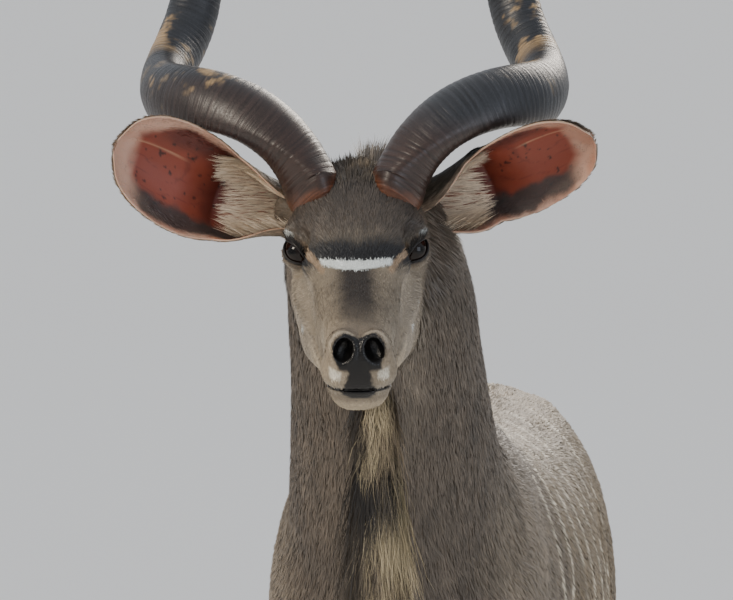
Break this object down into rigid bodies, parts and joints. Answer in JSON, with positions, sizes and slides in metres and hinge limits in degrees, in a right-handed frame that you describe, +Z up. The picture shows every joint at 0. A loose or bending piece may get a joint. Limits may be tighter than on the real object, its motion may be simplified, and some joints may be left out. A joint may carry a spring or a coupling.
{
  "type": "greater kudu",
  "caption": "Life-size greater kudu bull standing square, head turned to the viewer, with spiral horns, wide ears, neck crest and throat fringe.",
  "frame": {"origin": "centre of the bounding box's footprint, on the floor under the soles", "axes": "+Z up, -Y the way the bull faces, +X its left side"},
  "size_m": [0.8434, 2.0094, 2.2533],
  "materials": {
    "hide": "short grey-brown coat",
    "ear_hide": "thin haired skin",
    "horn_sheath": "ribbed dark keratin, worn smooth on its ridges",
    "hoof_horn": "dark keratin",
    "eye": "wet, dark"
  },
  "bodies": {
    "root": {"head": "hide", "neck": "hide", "torso": "hide", "tail": "hide", "leg_front_left": "hide", "leg_front_right": "hide", "leg_hind_left": "hide", "leg_hind_right": "hide", "hoof_front_left_inner": "hoof_horn", "hoof_front_left_outer": "hoof_horn", "hoof_front_right_inner": "hoof_horn", "hoof_front_right_outer": "hoof_horn", "hoof_hind_left_inner": "hoof_horn", "hoof_hind_left_outer": "hoof_horn", "hoof_hind_right_inner": "hoof_horn", "hoof_hind_right_outer": "hoof_horn", "ear_left": "ear_hide", "ear_right": "ear_hide", "eye_left": "eye", "eye_right": "eye", "horn_left": "horn_sheath", "horn_right": "horn_sheath"}
  },
  "joints": []
}
